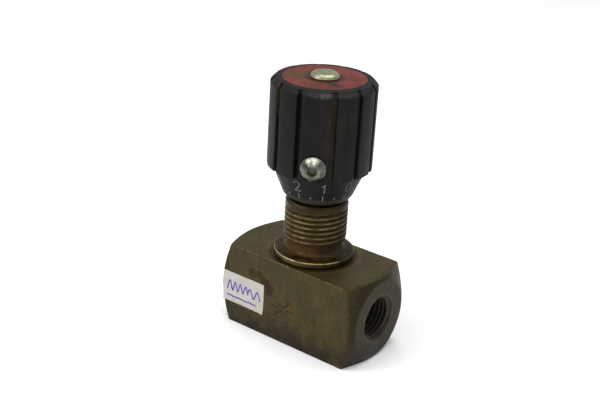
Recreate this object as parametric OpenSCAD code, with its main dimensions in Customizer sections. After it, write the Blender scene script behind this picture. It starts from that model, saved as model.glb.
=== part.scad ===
// In-line hydraulic flow control valve: a needle throttle with a bypass check valve in one poppet.
// The origin is the centre of the body's underside, on the spindle axis. +X runs along the ports,
// -Y is the marked front face and +Z runs up the spindle. The valve is shown closed and locked.

/* [Body] */
// Length of the body between its two port faces
body_l = 48; // [48:0.5:56]
// Width and height of the square body
body_w = 25; // [25:0.5:28]
// Radius of the flat ring around each port
port_face_r = 11.35; // [10.5:0.05:12]
// Slope of the turned cone that meets each port face, in degrees
end_slope = 27.2; // [20:0.1:30]

/* [Ports] */
// Inner radius of the G 1/4 port thread
port_r = 5.72; // [5.6:0.01:5.8]
// Radius of the countersink at the mouth of a port
port_mouth_r = 6.95; // [6.6:0.05:7.2]
// Depth of a port's thread from its face
port_depth = 12; // [11:0.5:12.5]
// Radius of the two drilled passages
passage_r = 2.2; // [1.8:0.1:2.2]

/* [Bonnet] */
// Radius of the bonnet's flange
flange_r = 11.6; // [11:0.1:12.2]
// Outer radius of the M18 panel thread on the neck
neck_r = 9; // [8.5:0.05:9]
// Radius of the plain relief under the panel thread
relief_r = 8.1; // [7.8:0.05:8.3]
// Radius of the stem that rises inside the knob
stem_r = 7; // [6.8:0.05:7]

/* [Metering] */
// Lift of the spindle from closed to fully open
spindle_lift = 7; // [5:0.5:7]
// Pitch of the spindle thread, which is also the lift of one turn
spindle_pitch = 1; // [0.75:0.25:1]
// Radius of the metering tip
tip_r = 2; // [1.8:0.05:2]
// Depth of the V notches at the end of the tip
notch_depth = 1.6; // [1:0.1:1.7]
// Lift of the check poppet when oil flows freely
poppet_lift = 1.2; // [0.8:0.1:1.2]

/* [Knob] */
// Radius over the grip lobes
knob_r = 14.75; // [14.5:0.05:15.5]
// Radius of the floor of the grip grooves
groove_floor_r = 13.2; // [12.9:0.05:13.4]
// Width of a grip groove
groove_w = 1.3; // [1:0.05:2]
// Number of ordinary lobes beside the wide one
lobe_count = 11; // [9:1:13]
// Angle of the wide lobe that carries the lock screw
wide_lobe = 38; // [34:1:44]
// Direction of the lock screw around the spindle, in degrees
lock_angle = -60.3; // [-180:0.1:180]
// Direction of the scale's zero around the spindle, in degrees
zero_angle = -10; // [-180:0.5:180]

/* [Lock screw] */
// Radius of the domed head
head_r = 3.75; // [3.4:0.05:3.8]
// Height of the domed head
head_h = 2.3; // [2:0.05:2.5]
// Radius of the M4 shank
shank_r = 2; // [1.9:0.05:2]

/* [Paper label] */
// Length of the label along the body
label_l = 15.2; // [10:0.1:16]
// Height of the label
label_h = 9.6; // [6:0.1:10]

/* [Hidden] */
$fn = 96;

fixed_gap = 0.02;      // radial clearance of a joint that is screwed or pressed tight
run_gap = 0.05;        // radial clearance of a joint that slides or turns
over = 1;              // how far a cutter runs past the face it opens
skin = 0.1;            // thickness of paint and paper

// Heights that follow from the body
top = body_w;
axis_z = body_w / 2;
sump_z0 = 3;
seat_z0 = top - 16;
seat_z1 = top - 12.5;
bonnet_z0 = top - 7.5;
clip_z0 = top - 3.5;
clip_h = 0.8;
washer_z0 = clip_z0 + clip_h;
washer_h = 0.9;
stop_z0 = washer_z0 + washer_h;
seal_step_z = top - 1.7;
flange_z1 = top + 2.15;
relief_z1 = top + 5;
neck_z1 = top + 17.5;
rings_z0 = top + 18.8;
stem_z1 = top + 41;
knob_z0 = top + 18.6;
ledge_z = top + 27.4;
lock_z = top + 31.15;
knob_z1 = top + 52.4;

// Radii inside the body and the bonnet
sump_r = 3.8;
seat_r = 6;
chamber_r = 6.5;
bonnet_thread_r = 8;
bonnet_seal_r = 8.6;
seal_core_r = 6.95;
guide_r = 4.65;
stop_bore_r = 4.3;
clip_groove_r = 5.15;
seal_bore_r = 3.55;
spindle_thread_r = 3;
wiper_r = 4.6;

// The check poppet and its seat
seat_bore_r = 3.6;
seat_rim_r = 4.6;
seat_cone_z = seat_z1 - (seat_rim_r - seat_bore_r);
poppet_r = guide_r - run_gap;
poppet_gap = 0.03;
nose_r = 3.3;
nose_z = seat_cone_z - (seat_bore_r - nose_r) + poppet_gap;
poppet_z1 = clip_z0 - poppet_lift - 0.3;
land_z1 = nose_z + 2.4;
skirt_bore_r = 3.4;

// The spindle
stop_collar_z0 = stop_z0 + 0.6;
stop_collar_h = 1.4;
stop_shoulder_z = stop_collar_z0 + stop_collar_h + spindle_lift + run_gap;
seal_rod_z1 = top + 17.5;
female_z0 = seal_rod_z1 + spindle_lift + 0.5;
wiper_z0 = stem_z1 - 2.5;
notch_top_z = land_z1 - 0.3;
tip_z0 = sump_z0 + 0.7;
notch_l = notch_top_z - tip_z0;
o_groove_z0 = top + 10.6;
o_groove_h = 2.6;
o_groove_r = 2.5;
male_r = spindle_thread_r - run_gap / 2;
drive_z0 = top + 42.9;
drive_z1 = top + 50.7;
drive_flat = 2.3;

// The knob
wall_r = 7.45;
roof_z = top + 42;
insert_r = 5.77;
insert_z0 = roof_z + 1;
web_z = drive_z1 + 0.1;
crown_r = 13.45;
skirt_r = 8.6;
skirt_round_r = 10.4;
skirt_round_z = knob_z0 + 2;
cone_top_r = 13.3;
disc_r = 11.7;
disc_h = 0.3;
cap_pin_r = 2;

// The knob lock, measured outwards from the spindle axis
pad_r = 1.55;
pad_u0 = stem_r + run_gap;
pad_u1 = pad_u0 + 1.25;
bush_u0 = 8.25;
bush_u1 = 13.2;
bush_r = 3.2;
head_u0 = knob_r - 0.35;

function flat_inset(r) = (r - port_face_r) * tan(end_slope);

module rod(r, z0, z1) {
    translate([0, 0, z0]) cylinder(r = r, h = z1 - z0);
}

module cone(r0, r1, z0, z1) {
    translate([0, 0, z0]) cylinder(r1 = r0, r2 = r1, h = z1 - z0);
}

module ring(r_out, r_in, z0, z1) {
    difference() {
        rod(r_out, z0, z1);
        rod(r_in, z0 - over, z1 + over);
    }
}

module torus(r, thick, z) {
    translate([0, 0, z]) rotate_extrude() translate([r, 0]) circle(r = thick / 2);
}

module along_lock() {
    translate([0, 0, lock_z]) rotate([0, 0, lock_angle]) rotate([0, 90, 0]) children();
}

// ---------- valve body ----------

module body_block() {
    corner_r = body_w / sqrt(2) + 0.5;
    half = body_l / 2;
    shoulder = half - flat_inset(corner_r);
    intersection() {
        translate([-half, -body_w / 2, 0]) cube([body_l, body_w, body_w]);
        translate([0, 0, axis_z]) rotate([0, 90, 0]) rotate_extrude()
            polygon([[0, -half], [port_face_r, -half], [corner_r, -shoulder],
                     [corner_r, shoulder], [port_face_r, half], [0, half]]);
    }
}

module port_cut() {
    drill_point = port_r * tan(31);
    mouth = port_mouth_r - port_r;
    translate([0, 0, -over]) cylinder(r = port_r, h = port_depth + over);
    translate([0, 0, -0.1]) cylinder(r1 = port_mouth_r + 0.1, r2 = port_r, h = mouth + 0.1);
    translate([0, 0, port_depth]) cylinder(r1 = port_r, r2 = 0, h = drill_point);
}

module passages() {
    port_end = body_l / 2 - port_depth;
    slope = 23;
    low_run = 10.9;
    // Low passage, from the left port down to the sump under the seat
    translate([-port_end - 1, 0, seat_z0 + 0.3]) rotate([0, 90 + slope, 0])
        cylinder(r = passage_r, h = low_run);
    // High passage, from the chamber above the seat to the right port
    translate([chamber_r - 2, 0, seat_z1 + passage_r + 0.5]) rotate([0, 90, 0])
        cylinder(r = passage_r, h = port_end - chamber_r + 3);
}

module valve_body() {
    color("#5b5135") difference() {
        body_block();
        for (side = [-1, 1])
            translate([side * body_l / 2, 0, axis_z]) rotate([0, -side * 90, 0]) port_cut();
        passages();
        rod(sump_r, sump_z0, seat_z0 + over);
        rod(seat_r, seat_z0, seat_z1 + over);
        rod(chamber_r, seat_z1, bonnet_z0 + over);
        rod(bonnet_thread_r, bonnet_z0, top + over);
        rod(bonnet_seal_r, seal_step_z, top + over);
    }
}

// ---------- fixed pieces inside the body and the bonnet ----------

module seat_ring() {
    color("#8a8c8e") difference() {
        ring(seat_r - fixed_gap, seat_bore_r, seat_z0, seat_z1);
        cone(seat_bore_r, seat_rim_r, seat_cone_z, seat_z1);
        rod(seat_rim_r, seat_z1, seat_z1 + over);
    }
}

module bonnet() {
    bevel = 0.25;
    rise = 0.3;
    run_in = neck_r - relief_r;
    lead = 0.55;
    color("#6b5a2e") difference() {
        union() {
            rod(bonnet_thread_r - fixed_gap, bonnet_z0, seal_step_z);
            rod(seal_core_r, bonnet_z0, top + over);
            rod(flange_r, top, flange_z1 - rise - bevel);
            cone(flange_r, flange_r - bevel, flange_z1 - rise - bevel, flange_z1 - rise);
            cone(flange_r - bevel, relief_r, flange_z1 - rise, flange_z1);
            rod(relief_r, top, relief_z1);
            cone(relief_r, neck_r, relief_z1, relief_z1 + run_in);
            rod(neck_r, relief_z1 + run_in, neck_z1 - lead);
            cone(neck_r, neck_r - lead, neck_z1 - lead, neck_z1);
            rod(stem_r, top, stem_z1);
        }
        ring(stem_r + over, stem_r - 0.3, rings_z0, rings_z0 + 7);
        rod(guide_r, bonnet_z0 - over, stop_z0);
        rod(clip_groove_r, clip_z0 - 0.05, clip_z0 + clip_h + 0.05);
        rod(stop_bore_r, bonnet_z0, stop_shoulder_z);
        rod(seal_bore_r, bonnet_z0, female_z0);
        rod(spindle_thread_r + run_gap / 2, bonnet_z0, stem_z1 + over);
        rod(wiper_r, wiper_z0, stem_z1 + over);
    }
}

module bonnet_seal() {
    thick = bonnet_seal_r - seal_core_r - 0.05;
    color("#1b1b1d") torus((bonnet_seal_r + seal_core_r) / 2, thick, top - thick / 2 - 0.03);
}

module spring_seat() {
    color("#8f9193") ring(guide_r - run_gap, tip_r + 0.15, washer_z0, stop_z0);
}

module retaining_clip() {
    gap_w = 3;
    color("#3a3b3e") difference() {
        ring(clip_groove_r - run_gap, 3.7, clip_z0, washer_z0);
        translate([0, -gap_w / 2, clip_z0 - over]) cube([clip_groove_r + over, gap_w, clip_h + 2 * over]);
    }
}

module wiper_ring() {
    lip = 0.6;
    color("#26262a") difference() {
        union() {
            rod(wiper_r - fixed_gap, wiper_z0, stem_z1 - lip);
            cone(wiper_r - fixed_gap, male_r + 0.5, stem_z1 - lip, stem_z1 + 0.2);
        }
        rod(male_r + run_gap, wiper_z0 - over, stem_z1 + over);
    }
}

module turn_rings() {
    for (turn = [0 : 6])
        color(turn % 2 == 0 ? "#d8d4c6" : "#b5302c")
            ring(stem_r + skin, stem_r - 0.28, rings_z0 + turn + 0.05, rings_z0 + turn + 0.95);
}

module paper_label() {
    left = -body_l / 2 + 1.1;
    color("#e9e3d6") translate([left, -body_w / 2 - skin, axis_z - 6])
        cube([label_l, skin, label_h]);
}

// ---------- check poppet and spring ----------

module check_poppet() {
    hole_r = 0.9;
    hole_z = seat_z1 + passage_r + 0.5;
    color("#a3a5a8") difference() {
        union() {
            cone(nose_r, poppet_r, nose_z, nose_z + poppet_r - nose_r);
            rod(poppet_r, nose_z + poppet_r - nose_r, poppet_z1);
        }
        rod(tip_r + 0.03, nose_z - over, poppet_z1 + over);
        rod(skirt_bore_r, land_z1, poppet_z1 + over);
        for (quarter = [0 : 3])
            translate([0, 0, hole_z]) rotate([0, 90, quarter * 90]) cylinder(r = hole_r, h = 6);
    }
}

function helix_point(turns, mean_r, z0, z1, t) =
    [mean_r * cos(360 * turns * t), mean_r * sin(360 * turns * t), z0 + (z1 - z0) * t];

module coil(mean_r, wire_r, z0, z1, turns) {
    around = 10;
    steps = turns * 22;
    points = [
        for (i = [0 : steps])
            let (p = helix_point(turns, mean_r, z0 + wire_r, z1 - wire_r, i / steps),
                 a = 360 * turns * i / steps)
                for (k = [0 : around - 1])
                    let (u = wire_r * cos(360 * k / around), v = wire_r * sin(360 * k / around))
                        [p[0] + u * cos(a), p[1] + u * sin(a), p[2] + v]
    ];
    sides = [
        for (i = [0 : steps - 1], k = [0 : around - 1])
            let (n = (k + 1) % around)
                [i * around + k, i * around + n, (i + 1) * around + n, (i + 1) * around + k]
    ];
    first = [for (k = [around - 1 : -1 : 0]) k];
    last = [for (k = [0 : around - 1]) steps * around + k];
    polyhedron(points = points, faces = concat([first], sides, [last]), convexity = 10);
}

module poppet_spring() {
    color("#b9babc") coil(2.8, 0.35, land_z1 + 0.03, washer_z0 - 0.03, 6);
}

// ---------- spindle and its seals ----------

module spindle_o_ring() {
    thick = seal_bore_r - o_groove_r - 0.05;
    color("#19191b") torus((seal_bore_r + o_groove_r) / 2, thick, o_groove_z0 + 0.1 + thick / 2);
}

module backup_ring() {
    color("#e4dfd0") ring(seal_bore_r - 0.03, o_groove_r + 0.02,
                          o_groove_z0 + 1.25, o_groove_z0 + o_groove_h - 0.1);
}

// Flanks of the spindle thread, one tooth a pitch
function thread_points(z0, count) = [
    for (i = [0 : count - 1], corner = [[0.1, 0], [0.45, 0.5], [0.55, 0.5], [0.9, 0]])
        [male_r - corner[1], z0 + (i + corner[0]) * spindle_pitch]
];

module metering_notch() {
    tilt = atan(notch_depth / notch_l);
    translate([tip_r, 0, notch_top_z]) rotate([0, tilt, 0]) translate([0, 0, -notch_l - 2])
        linear_extrude(height = notch_l + 2) polygon([[0, 0], [2.4, 1.9], [2.4, -1.9]]);
}

module spindle() {
    teeth = floor((wiper_z0 - seal_rod_z1 - 2) / spindle_pitch);
    cap_hole_z = drive_z1 - 6;
    collar_z1 = stop_collar_z0 + stop_collar_h;
    color("#9a9a94") difference() {
        union() {
            rod(tip_r, tip_z0, collar_z1);
            rod(stop_bore_r - 0.2, stop_collar_z0, collar_z1);
            rod(seal_bore_r - run_gap, collar_z1, seal_rod_z1);
            rotate_extrude() polygon(concat(
                [[0, seal_rod_z1], [male_r, seal_rod_z1]],
                thread_points(seal_rod_z1 + 0.5, teeth),
                [[male_r, drive_z0], [0, drive_z0]]));
            intersection() {
                rod(male_r - 0.02, drive_z0, drive_z1);
                translate([-male_r - over, -5, drive_z0]) cube([male_r + over + drive_flat, 10, 12]);
            }
        }
        ring(seal_bore_r + over, o_groove_r, o_groove_z0, o_groove_z0 + o_groove_h);
        for (side = [0, 180]) rotate([0, 0, side]) metering_notch();
        rod(cap_pin_r, cap_hole_z, drive_z1 + over);
    }
}

// ---------- knob ----------

// A quarter-like rounding between the skirt's lower rim and its cone
function skirt_curve(steps) = [
    for (i = [0 : steps])
        let (a = 62 * i / steps)
            [skirt_r + (skirt_round_r - skirt_r) * sin(a) / sin(62),
             knob_z0 + (skirt_round_z - knob_z0) * (1 - cos(a)) / (1 - cos(62))]
];

module knob_outline() {
    bevel = knob_r - crown_r;
    rotate_extrude() polygon(concat(
        [[0, knob_z0]],
        skirt_curve(4),
        [[cone_top_r, ledge_z], [knob_r, ledge_z], [knob_r, knob_z1 - bevel],
         [crown_r, knob_z1], [0, knob_z1]]));
}

module grip_grooves() {
    step = (360 - wide_lobe) / lobe_count;
    for (i = [0 : lobe_count])
        rotate([0, 0, lock_angle + wide_lobe / 2 + i * step])
            translate([groove_floor_r, -groove_w / 2, ledge_z - 0.6])
                cube([knob_r, groove_w, knob_z1 - ledge_z + 2]);
}

module insert_shape(r, z0, z1) {
    translate([0, 0, z0]) cylinder(r = r, h = z1 - z0, $fn = 6);
}

module knob() {
    color("#232324") difference() {
        knob_outline();
        grip_grooves();
        rod(wall_r, knob_z0 - over, roof_z);
        rod(spindle_thread_r + 0.1, roof_z - over, insert_z0 + over);
        insert_shape(insert_r, insert_z0, web_z);
        rod(cap_pin_r + run_gap, web_z - over, knob_z1 + over);
        rod(disc_r, knob_z1 - 0.2, knob_z1 + over);
        along_lock() {
            translate([0, 0, wall_r - over]) cylinder(r = pad_r + run_gap, h = bush_u0 - wall_r + 2 * over);
            translate([0, 0, bush_u0]) cylinder(r = bush_r, h = bush_u1 - bush_u0);
            translate([0, 0, bush_u0 + over]) cylinder(r = shank_r + 0.15, h = knob_r);
            translate([0, 0, head_u0 - run_gap]) cylinder(r = head_r + 0.2, h = knob_r);
        }
    }
}

module knob_insert() {
    bore_r = male_r + 0.02;
    color("#8d7f55") difference() {
        insert_shape(insert_r - fixed_gap, insert_z0, web_z - fixed_gap);
        intersection() {
            rod(bore_r, insert_z0 - over, web_z + over);
            translate([-bore_r - over, -5, insert_z0 - 2])
                cube([bore_r + over + drive_flat + fixed_gap, 10, 12]);
        }
    }
}

module knob_label() {
    z0 = knob_z1 - 0.2;
    color("#a8423f") ring(disc_r - run_gap, cap_pin_r + run_gap, z0, z0 + disc_h);
}

module spindle_cap() {
    z0 = knob_z1 - 0.2 + disc_h;
    head_z1 = z0 + 1.55;
    bevel = 0.8;
    pan_r = 4.1;
    color("#a8a695") {
        rod(pan_r, z0, head_z1 - bevel);
        cone(pan_r, pan_r - bevel, head_z1 - bevel, head_z1);
        rod(cap_pin_r - fixed_gap, drive_z1 - 5, z0 + 0.1);
    }
}

module lock_bush() {
    color("#8d7f55") along_lock() difference() {
        translate([0, 0, bush_u0]) cylinder(r = bush_r - fixed_gap, h = bush_u1 - bush_u0);
        translate([0, 0, bush_u0 - over])
            cylinder(r = shank_r + run_gap, h = bush_u1 - bush_u0 + 2 * over);
    }
}

// Ten strokes, one for each number, and ten half-step dots around the skirt's cone
module scale_marks() {
    steps = 10;
    stroke_z0 = skirt_round_z - 0.4;
    color("#cfcabd") intersection() {
        difference() {
            rotate_extrude() polygon([[8, knob_z0], [skirt_round_r + skin, skirt_round_z],
                                      [cone_top_r + skin, ledge_z], [8, ledge_z]]);
            knob_outline();
        }
        for (i = [0 : steps - 1]) {
            rotate([0, 0, zero_angle - i * 360 / steps])
                translate([8, -0.17, stroke_z0 + 0.5]) cube([6, 0.34, 1.4]);
            rotate([0, 0, zero_angle - (i + 0.5) * 360 / steps])
                translate([8, 0, stroke_z0 + 0.8]) rotate([0, 90, 0]) cylinder(r = 0.3, h = 6);
        }
    }
}

// ---------- knob lock ----------

module lock_pad() {
    color("#b9974f") along_lock() translate([0, 0, pad_u0]) cylinder(r = pad_r, h = pad_u1 - pad_u0);
}

module lock_screw() {
    ball_r = (head_r * head_r + head_h * head_h) / (2 * head_h);
    socket_r = 1.45;
    socket_depth = 1.3;
    color("#b7b8b2") along_lock() difference() {
        union() {
            translate([0, 0, pad_u1 + 0.02]) cylinder(r = shank_r, h = head_u0 - pad_u1);
            intersection() {
                translate([0, 0, head_u0]) cylinder(r = head_r, h = head_h + over);
                translate([0, 0, head_u0 + head_h - ball_r]) sphere(r = ball_r);
            }
        }
        translate([0, 0, head_u0 + head_h - socket_depth])
            cylinder(r = socket_r, h = socket_depth + over, $fn = 6);
    }
}

valve_body();
seat_ring();
bonnet();
bonnet_seal();
spring_seat();
retaining_clip();
wiper_ring();
turn_rings();
paper_label();
poppet_spring();
check_poppet();
spindle_o_ring();
backup_ring();
spindle();
knob();
knob_insert();
knob_label();
spindle_cap();
lock_bush();
scale_marks();
lock_pad();
lock_screw();
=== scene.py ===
"""Looks of an in-line flow control valve: a bar-steel body, a threaded neck and a scaled grip knob.

Shapes are worked out in millimetres and built in metres. The spindle axis is the Z axis, the body's
underside lies at z = 0, +X runs along the ports and -Y is the marked front face.
"""
import math

import bmesh
import bpy
import numpy as np
from mathutils import Matrix, Vector, noise


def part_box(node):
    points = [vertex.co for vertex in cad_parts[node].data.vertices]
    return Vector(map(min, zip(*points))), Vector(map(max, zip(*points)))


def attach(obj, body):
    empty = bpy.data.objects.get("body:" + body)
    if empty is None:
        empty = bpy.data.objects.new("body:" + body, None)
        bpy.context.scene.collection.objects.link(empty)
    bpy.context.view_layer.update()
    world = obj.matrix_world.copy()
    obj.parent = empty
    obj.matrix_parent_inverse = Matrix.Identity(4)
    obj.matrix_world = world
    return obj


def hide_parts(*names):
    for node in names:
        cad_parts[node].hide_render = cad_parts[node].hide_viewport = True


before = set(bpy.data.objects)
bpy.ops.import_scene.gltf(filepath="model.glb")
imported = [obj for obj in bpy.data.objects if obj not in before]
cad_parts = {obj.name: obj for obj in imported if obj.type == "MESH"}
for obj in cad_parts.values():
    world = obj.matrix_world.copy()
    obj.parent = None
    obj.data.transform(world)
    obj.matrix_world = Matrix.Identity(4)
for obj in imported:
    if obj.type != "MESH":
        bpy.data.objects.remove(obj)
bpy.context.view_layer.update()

MM = 0.001


# ---- sizes, in mm, from the frame

def box_mm(node):
    """Lowest and highest corner of a CAD node, in mm."""
    low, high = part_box(node)
    return [c / MM for c in low], [c / MM for c in high]


HALF_L, HALF_W, TOP = box_mm("valve_body")[1]
bonnet_low, bonnet_high = box_mm("bonnet")
knob_low, knob_high = box_mm("knob")
disc_high = box_mm("knob_label")[1]
cap_low, cap_high = box_mm("spindle_cap")
label_low, label_high = box_mm("paper_label")
rings_low, rings_high = box_mm("turn_rings")

AXIS_Z = TOP / 2
PORT_FACE_R = 11.35
END_SLOPE = math.radians(27.2)
PORT_R = 5.72
PORT_MAJOR_R = 6.58
PORT_MOUTH_R = 6.95
PORT_DEPTH = 12.0
PORT_PITCH = 1.337
DRILL_SLOPE = math.radians(31)
PASSAGE_R = 2.2
EDGE_R = 0.4
PORT_WALL_STEPS = 108
DENSE_RINGS = (0.15, 0.32, 0.5, 0.68, 0.84, 0.94, 1.0)
SYMBOL_AT = (-0.8, 11.0)
STROKE_W = 0.42
STROKE_DEPTH = 0.16
FLANGE_R = bonnet_high[0]
NECK_R = 9.0
NECK_ROOT_R = 8.2
NECK_PITCH = 1.5
RELIEF_R = 8.1
RELIEF_TOP = TOP + 5.0
NECK_TOP = TOP + 17.5
STEM_R = 7.0
KNOB_R = knob_high[0]
KNOB_Z0 = knob_low[2]
KNOB_Z1 = knob_high[2]
CROWN_R = 13.45
HOLLOW_R = 7.45
CAP_HOLE_R = 2.05
SKIRT_FOOT_R = 8.6
SKIRT_ARC = math.radians(62)
SKIRT_TOP = (10.4, KNOB_Z0 + 2.0)
CONE_TOP = (13.3, TOP + 27.4)
GROOVE_R = 13.2
GROOVE_W = 1.3
LOBES = 11
WIDE_LOBE = math.radians(38)
LOCK_ANGLE = math.radians(-60.3)
LOCK_Z = TOP + 31.15
ZERO_ANGLE = math.radians(-10)
SCALE_STEPS = 10
DIGIT_SIZE = 2.05
PAINT_THICK = 0.03
HEAD_R = 3.75
HEAD_H = 2.3
HEAD_U = KNOB_R - 0.35
SHANK_R = 2.0
SOCKET_R = 1.45
PAD_R = 1.6
BUSH_R = 3.2
BUSH_U0 = 8.25
BUSH_U1 = 13.2


# ---- mesh helpers

def add_object(name, data):
    obj = bpy.data.objects.new(name, data)
    bpy.context.scene.collection.objects.link(obj)
    return obj


def mesh_object(name, points, faces, smooth=True):
    """A mesh object from points in mm; doubled points are merged and normals point outwards."""
    mesh = bpy.data.meshes.new(name)
    mesh.from_pydata([tuple(c * MM for c in p) for p in points], [], faces)
    bm = bmesh.new()
    bm.from_mesh(mesh)
    bmesh.ops.remove_doubles(bm, verts=bm.verts, dist=1e-7)
    bmesh.ops.dissolve_degenerate(bm, edges=bm.edges, dist=1e-7)
    bmesh.ops.recalc_face_normals(bm, faces=bm.faces)
    bm.to_mesh(mesh)
    bm.free()
    mesh.validate()
    if smooth:
        mesh.polygons.foreach_set("use_smooth", [True] * len(mesh.polygons))
    return add_object(name, mesh)


def stacked(rings):
    """Points and quads of a surface through rings of equal length, each closed on itself."""
    count = len(rings[0])
    points = [p for ring in rings for p in ring]
    faces = []
    for j in range(len(rings) - 1):
        a, b = j * count, (j + 1) * count
        for i in range(count):
            k = (i + 1) % count
            faces.append((a + i, a + k, b + k, b + i))
    return points, faces


def closed_rings(name, rings):
    """A closed object through rings, with a fan of triangles over each end."""
    points, faces = stacked(rings)
    count = len(rings[0])
    first = len(points)
    points.append(tuple(np.mean(rings[0], axis=0)))
    points.append(tuple(np.mean(rings[-1], axis=0)))
    last = (len(rings) - 1) * count
    for i in range(count):
        k = (i + 1) % count
        faces.append((first, k, i))
        faces.append((first + 1, last + i, last + k))
    return mesh_object(name, points, faces)


def fillet(corner, before, after, radius, steps=4):
    """Points of an arc that rounds the corner between two neighbours, in any 2D frame."""
    corner = Vector(corner)
    a = Vector(before) - corner
    b = Vector(after) - corner
    reach = min(a.length, b.length) * 0.45
    a.normalize()
    b.normalize()
    half = a.angle(b) / 2
    cut = min(radius / math.tan(half), reach)
    radius = cut * math.tan(half)
    centre = corner + (a + b).normalized() * (radius / math.sin(half))
    start = corner + a * cut - centre
    turn = start.angle_signed(corner + b * cut - centre)
    return [tuple(centre + Matrix.Rotation(-turn * k / steps, 2) @ start) for k in range(steps + 1)]


def rounded(outline, steps=4):
    """An outline of (r, z) or (r, z, radius) points, rounded where a radius is given; its ends have none."""
    points = []
    for i, (r, z, *radius) in enumerate(outline):
        if radius:
            points += fillet((r, z), outline[i - 1][:2], outline[i + 1][:2], radius[0], steps)
        else:
            points.append((r, z))
    return points


def circle_angles(count):
    return [2 * math.pi * i / count for i in range(count)]


def polar(r, angle, z):
    return (r * math.cos(angle), r * math.sin(angle), z)


def circles(outline, angles):
    """Rings about Z through (r, z) points."""
    return [[polar(r, a, z) for a in angles] for r, z in outline]


def bow(cx, cy, rx, ry, start, end, steps):
    """Points of an arc of a circle or an ellipse, angles in degrees."""
    turns = [math.radians(start + (end - start) * i / steps) for i in range(steps + 1)]
    return [(cx + rx * math.cos(a), cy + ry * math.sin(a)) for a in turns]


def sideways(path, i):
    """Unit vector across a path of flat points, at its point i."""
    ahead = Vector(path[min(i + 1, len(path) - 1)]) - Vector(path[max(i - 1, 0)])
    return Vector((-ahead.y, ahead.x)).normalized()


def sweep(points, faces, sections):
    """Adds a closed tube through equal cross-sections to a mesh's points and faces."""
    count, base = len(sections[0]), len(points)
    last = base + (len(sections) - 1) * count
    for section in sections:
        points.extend(section)
    for a in range(base, last, count):
        for k in range(count):
            n = (k + 1) % count
            faces.append((a + k, a + n, a + count + n, a + count + k))
    faces.append(tuple(range(base, base + count)))
    faces.append(tuple(reversed(range(last, last + count))))


def turned(name, outline, count=96, steps=4):
    """A turned piece about Z from an outline that starts and ends on the axis."""
    return mesh_object(name, *stacked(circles(rounded(outline, steps), circle_angles(count))))


def apply_boolean(obj, cutter):
    """Cuts obj with cutter, keeps the result as obj's mesh and removes the cutter."""
    modifier = obj.modifiers.new("cut", "BOOLEAN")
    modifier.operation = "DIFFERENCE"
    modifier.solver = "EXACT"
    modifier.object = cutter
    depsgraph = bpy.context.evaluated_depsgraph_get()
    result = bpy.data.meshes.new_from_object(obj.evaluated_get(depsgraph))
    obj.modifiers.clear()
    old = obj.data
    obj.data = result
    bpy.data.meshes.remove(old)
    bpy.data.objects.remove(cutter)


def shade(obj, angle=35):
    """Smooth shading with hard edges past an angle, kept in the mesh itself."""
    mesh = obj.data
    bm = bmesh.new()
    bm.from_mesh(mesh)
    limit = math.radians(angle)
    for edge in bm.edges:
        edge.smooth = len(edge.link_faces) == 2 and edge.calc_face_angle(0) < limit
    for face in bm.faces:
        face.smooth = True
    bm.to_mesh(mesh)
    bm.free()


def passage(start, end):
    """Cutter of a straight oil passage between two points in mm."""
    start, end = Vector(start), Vector(end)
    axis = (end - start).normalized()
    side = axis.orthogonal().normalized()
    other = axis.cross(side)
    rings = []
    for centre in (start, end):
        rings.append([tuple(centre + (side * math.cos(a) + other * math.sin(a)) * PASSAGE_R)
                      for a in circle_angles(48)])
    return closed_rings("passage_cutter", rings)


def along_lock(obj):
    """Turns an object built about +Z so that +Z points outwards along the lock screw."""
    turn = Matrix.Rotation(LOCK_ANGLE, 4, "Z") @ Matrix.Rotation(math.pi / 2, 4, "Y")
    obj.data.transform(Matrix.Translation((0, 0, LOCK_Z * MM)) @ turn)


def place(obj, body, material, slot, *nodes):
    """Gives a piece its material and body and hides the CAD nodes that it stands for; the slot argument is
    not used.
    """
    obj.data.materials.clear()
    obj.data.materials.append(material)
    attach(obj, body)
    if nodes:
        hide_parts(*nodes)
    return obj


# ---- material helpers

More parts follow.
